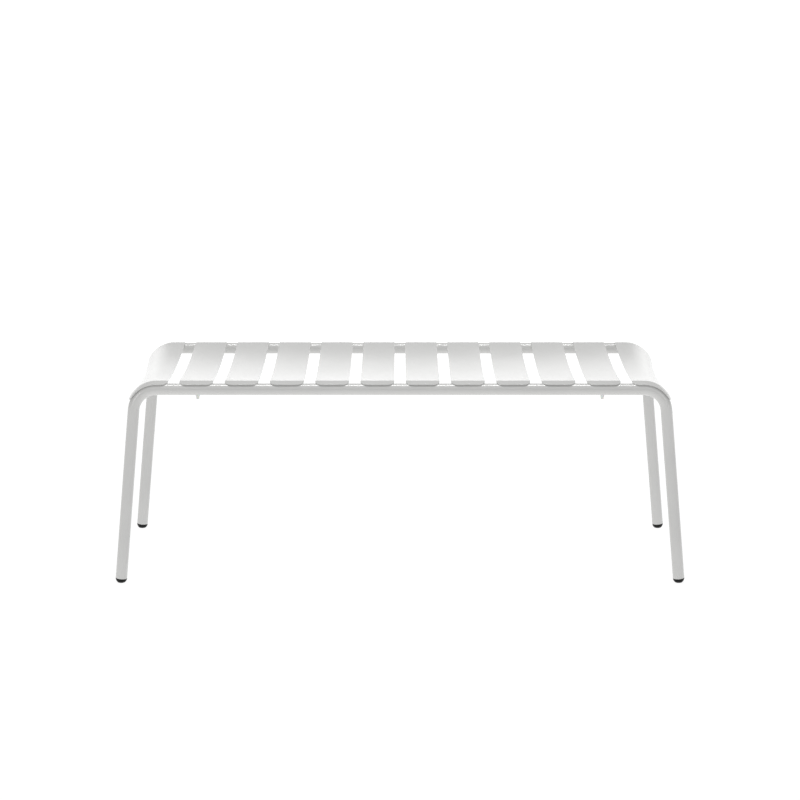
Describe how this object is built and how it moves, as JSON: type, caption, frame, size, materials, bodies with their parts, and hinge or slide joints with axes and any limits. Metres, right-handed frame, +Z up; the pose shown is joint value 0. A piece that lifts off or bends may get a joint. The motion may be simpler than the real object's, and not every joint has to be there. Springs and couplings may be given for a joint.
{
  "type": "garden bench",
  "caption": "Backless outdoor bench with two bent round-tube hoops, dished sheet-metal slats that wrap down the bends at both ends, and domed plastic glides on splayed legs.",
  "frame": {"origin": "on the ground under the middle of the seat", "axes": "+X along the seat, to the right as seen from the front, -Y is the front, +Z up"},
  "size_m": [1.2404, 0.437, 0.4484],
  "materials": {
    "frame_powder_coat": "satin",
    "slat_powder_coat": "satin",
    "weld_powder_coat": "satin",
    "glide_plastic": "matte",
    "buffer_plastic": "matte"
  },
  "bodies": {
    "root": {"front_hoop": "frame_powder_coat", "rear_hoop": "frame_powder_coat", "slat_01": "slat_powder_coat", "slat_02": "slat_powder_coat", "slat_03": "slat_powder_coat", "slat_04": "slat_powder_coat", "slat_05": "slat_powder_coat", "slat_06": "slat_powder_coat", "slat_07": "slat_powder_coat", "slat_08": "slat_powder_coat", "slat_09": "slat_powder_coat", "slat_10": "slat_powder_coat", "slat_11": "slat_powder_coat", "slat_12": "slat_powder_coat", "glide_front_left": "glide_plastic", "glide_front_right": "glide_plastic", "glide_rear_left": "glide_plastic", "glide_rear_right": "glide_plastic", "buffer_front_left": "buffer_plastic", "buffer_front_right": "buffer_plastic", "buffer_rear_left": "buffer_plastic", "buffer_rear_right": "buffer_plastic", "weld_beads_front": "weld_powder_coat", "weld_beads_rear": "weld_powder_coat"}
  },
  "joints": []
}
